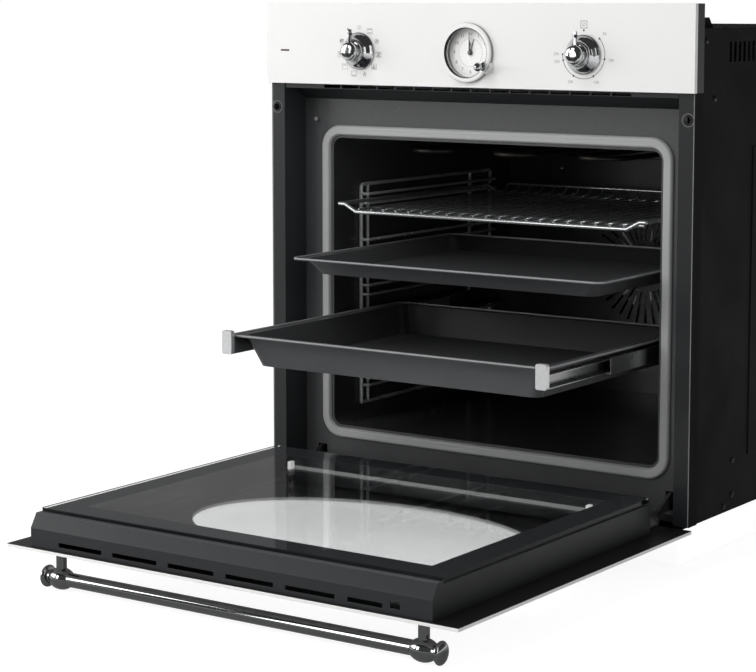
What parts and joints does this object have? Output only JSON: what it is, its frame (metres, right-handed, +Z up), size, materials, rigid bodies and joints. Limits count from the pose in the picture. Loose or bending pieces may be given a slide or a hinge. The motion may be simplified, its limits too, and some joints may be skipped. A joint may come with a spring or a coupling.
{
  "type": "built-in oven",
  "caption": "Built-in electric oven with a drop-down door, turned knobs, an analogue clock, a wire rack, trays and telescopic rails, drawn open.",
  "frame": {"origin": "underside of the base, half way across it, in the plane where the front frame meets the cabinet's edge", "axes": "+X to the user's right as seen by someone facing the oven, +Y into the cabinet, +Z up"},
  "size_m": [0.595, 1.0295, 0.6429],
  "materials": {
    "casing_sheet": "satin",
    "zinc_sheet": "satin",
    "dark_enamel": "gloss",
    "dark_paint": "satin",
    "ivory_enamel": "gloss",
    "wool": "matte",
    "gasket_rubber": "matte",
    "heater_tube": "matte",
    "lamp_ceramic": "matte",
    "clear_glass": "gloss",
    "chrome_wire": "polished",
    "rail_steel": "satin",
    "lens_plastic": "gloss",
    "switch_plastic": "matte",
    "brass_body": "satin",
    "dial_white": "satin",
    "hand_black": "satin",
    "black_plastic": "matte",
    "blade_aluminium": "satin",
    "motor_iron": "matte",
    "tinted_glass": "gloss",
    "chrome": "polished",
    "shaft_steel": "satin"
  },
  "bodies": {
    "oven": {"casing_side_left": "casing_sheet", "casing_side_right": "casing_sheet", "casing_top": "casing_sheet", "casing_base": "casing_sheet", "casing_rear": "zinc_sheet", "front_frame": "dark_paint", "cavity_face": "dark_enamel", "cavity_liner": "dark_enamel", "insulation_blanket": "wool", "door_gasket": "gasket_rubber", "fan_cover": "dark_enamel", "ring_element": "heater_tube", "grill_element": "heater_tube", "bottom_element": "heater_tube", "lamp_holder": "lamp_ceramic", "lamp_lens": "clear_glass", "side_rack_left": "chrome_wire", "side_rack_right": "chrome_wire", "rail_channels": "rail_steel", "control_fascia": "ivory_enamel", "control_carrier": "dark_paint", "indicator_lens": "lens_plastic", "function_switch": "switch_plastic", "thermostat_body": "brass_body", "clock_bezel": "ivory_enamel", "clock_dial": "dial_white", "clock_glass": "clear_glass", "clock_movement": "switch_plastic", "vent_grille": "dark_paint", "blower_housing": "zinc_sheet", "cooling_motor": "motor_iron", "fan_motor": "motor_iron", "terminal_box": "black_plastic", "hinge_claws": "rail_steel", "hinge_pins": "shaft_steel"},
    "door": {"door_outer_panel": "ivory_enamel", "door_frame": "dark_paint", "door_window_glass": "tinted_glass", "door_inner_glass": "tinted_glass", "hinge_channels": "rail_steel", "handle_bar": "chrome", "handle_posts": "chrome"},
    "rack": {"wire_rack": "chrome_wire"},
    "shallow": {"shallow_tray": "dark_enamel"},
    "rail_stage": {"rail_middles": "rail_steel"},
    "deep": {"deep_tray": "dark_enamel", "rail_runners": "rail_steel", "rail_caps": "chrome"},
    "function_control": {"function_knob": "chrome", "function_shaft": "shaft_steel"},
    "thermostat_control": {"thermostat_knob": "chrome", "thermostat_shaft": "shaft_steel"},
    "minute": {"minute_hand": "hand_black"},
    "hour": {"hour_hand": "hand_black"},
    "alarm": {"alarm_hand": "hand_black"},
    "setting_rod": {"setting_stem": "chrome"},
    "setting_button": {"setting_knob": "chrome"},
    "fan": {"convection_fan": "blade_aluminium"},
    "drum": {"cooling_drum": "blade_aluminium"},
    "switch_pin": {"door_switch_pin": "switch_plastic"}
  },
  "joints": [
    {"name": "door_hinge", "type": "hinge", "parent": "oven", "child": "door", "pos_m": [0, -0.016, 0.0105], "axis": [-1, 0, 0], "range_deg": [0, 90]},
    {"name": "rack_slide", "type": "slide", "parent": "oven", "child": "rack", "axis": [0, 1, 0], "range_m": [0, 0.046]},
    {"name": "shallow_slide", "type": "slide", "parent": "oven", "child": "shallow", "axis": [0, 1, 0], "range_m": [0, 0.147]},
    {"name": "rail_stage_slide", "type": "slide", "parent": "oven", "child": "rail_stage", "axis": [0, 1, 0], "range_m": [0, 0.1335]},
    {"name": "deep_slide", "type": "slide", "parent": "oven", "child": "deep", "axis": [0, 1, 0], "range_m": [0, 0.267]},
    {"name": "function_turn", "type": "hinge", "parent": "oven", "child": "function_control", "pos_m": [-0.1565, -0.026, 0.54], "axis": [0, 1, 0], "continuous": true},
    {"name": "thermostat_turn", "type": "hinge", "parent": "oven", "child": "thermostat_control", "pos_m": [0.1565, -0.026, 0.54], "axis": [0, 1, 0], "range_deg": [0, 270]},
    {"name": "minute_turn", "type": "hinge", "parent": "oven", "child": "minute", "pos_m": [0, -0.02, 0.54], "axis": [0, 1, 0], "continuous": true},
    {"name": "hour_turn", "type": "hinge", "parent": "oven", "child": "hour", "pos_m": [0, -0.02, 0.54], "axis": [0, 1, 0], "continuous": true},
    {"name": "setting_push", "type": "slide", "parent": "oven", "child": "setting_rod", "axis": [0, 1, 0], "range_m": [0, 0.002], "stiffness_N_per_m": 300},
    {"name": "setting_turn", "type": "hinge", "parent": "setting_rod", "child": "setting_button", "pos_m": [0.0275, -0.047, 0.5242], "axis": [0, 1, 0], "continuous": true},
    {"name": "alarm_turn", "type": "hinge", "parent": "oven", "child": "alarm", "pos_m": [0, -0.02, 0.54], "axis": [0, 1, 0], "continuous": true},
    {"name": "fan_spin", "type": "hinge", "parent": "oven", "child": "fan", "pos_m": [0, 0.43, 0.243], "axis": [0, 1, 0], "continuous": true},
    {"name": "drum_spin", "type": "hinge", "parent": "oven", "child": "drum", "pos_m": [0, 0.33, 0.4912], "axis": [1, 0, 0], "continuous": true},
    {"name": "pin_press", "type": "slide", "parent": "oven", "child": "switch_pin", "axis": [0, 1, 0], "range_m": [0, 0.004], "stiffness_N_per_m": 200}
  ],
  "couplings": [
    {"joint": "rack_slide", "follows": "door_hinge", "m_per_rad": 0.02928},
    {"joint": "shallow_slide", "follows": "door_hinge", "m_per_rad": 0.09358},
    {"joint": "rail_stage_slide", "follows": "door_hinge", "m_per_rad": 0.084985},
    {"joint": "deep_slide", "follows": "door_hinge", "m_per_rad": 0.16997},
    {"joint": "hour_turn", "follows": "minute_turn", "ratio": 0.083333},
    {"joint": "alarm_turn", "follows": "setting_turn", "ratio": 0.1}
  ]
}
